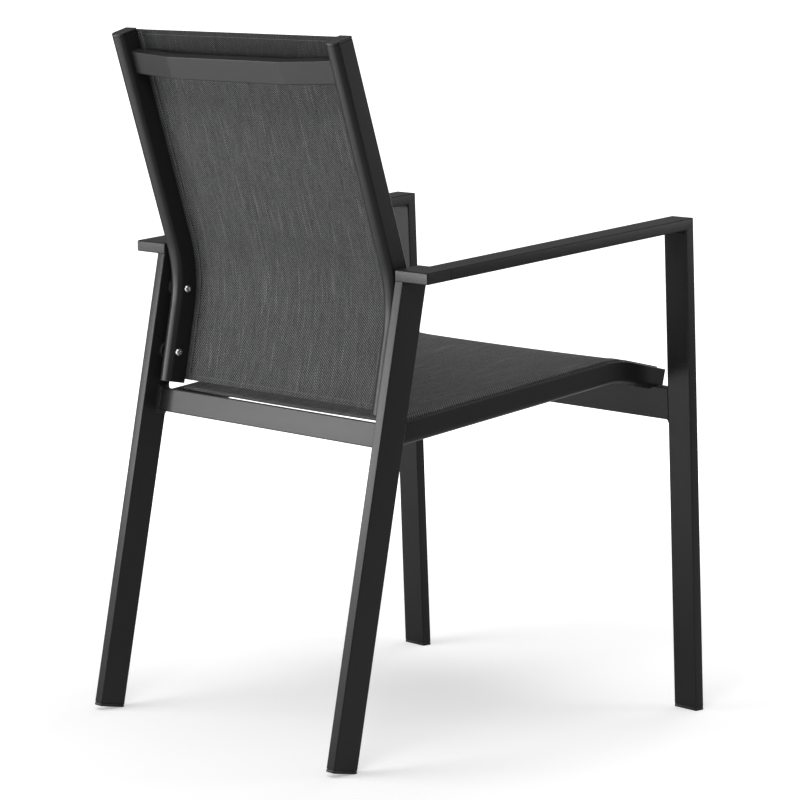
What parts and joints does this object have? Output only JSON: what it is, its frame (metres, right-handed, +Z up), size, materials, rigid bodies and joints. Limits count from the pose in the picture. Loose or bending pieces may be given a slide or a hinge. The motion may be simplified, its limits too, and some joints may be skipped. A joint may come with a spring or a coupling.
{
  "type": "sling patio chair",
  "caption": "Outdoor armchair of welded flat tube, with bent rails that hold a fabric sling seat and back, and flat metal arms.",
  "frame": {"origin": "on the floor under the middle of the outline box", "axes": "+Z up, the sitter faces -Y, the sitter's left arm at +X"},
  "size_m": [0.578, 0.597, 0.8913],
  "materials": {
    "powder_coat": "anthracite powder coat, fine satin texture",
    "sling_fabric": "PVC-coated polyester sling weave, charcoal twill",
    "black_plastic": "moulded, fine matte grain",
    "keder_rod": "extruded plastic rod, plain",
    "stainless_steel": "bright stainless screw heads",
    "zinc_steel": "zinc-plated steel"
  },
  "bodies": {
    "root": {"front_leg_left": "powder_coat", "rear_leg_left": "powder_coat", "arm_left": "powder_coat", "arm_end_left": "powder_coat", "front_foot_plug_left": "black_plastic", "rear_foot_plug_left": "black_plastic", "front_leg_right": "powder_coat", "rear_leg_right": "powder_coat", "arm_right": "powder_coat", "arm_end_right": "powder_coat", "front_foot_plug_right": "black_plastic", "rear_foot_plug_right": "black_plastic", "front_crossbar": "powder_coat", "rear_crossbar": "powder_coat", "back_rail_left": "powder_coat", "back_keder_left": "keder_rod", "back_rail_top_cap_left": "black_plastic", "back_rail_lower_plug_left": "black_plastic", "back_bolt_lower_left": "stainless_steel", "back_spacer_lower_left": "black_plastic", "rivet_nut_lower_left": "zinc_steel", "back_bolt_upper_left": "stainless_steel", "back_spacer_upper_left": "black_plastic", "rivet_nut_upper_left": "zinc_steel", "back_rail_right": "powder_coat", "back_keder_right": "keder_rod", "back_rail_top_cap_right": "black_plastic", "back_rail_lower_plug_right": "black_plastic", "back_bolt_lower_right": "stainless_steel", "back_spacer_lower_right": "black_plastic", "rivet_nut_lower_right": "zinc_steel", "back_bolt_upper_right": "stainless_steel", "back_spacer_upper_right": "black_plastic", "rivet_nut_upper_right": "zinc_steel", "back_top_bar": "powder_coat", "back_sling": "sling_fabric", "seat_rail_left": "powder_coat", "seat_keder_left": "keder_rod", "seat_rail_front_cap_left": "black_plastic", "seat_rail_right": "powder_coat", "seat_keder_right": "keder_rod", "seat_rail_front_cap_right": "black_plastic", "seat_sling": "sling_fabric"}
  },
  "joints": []
}
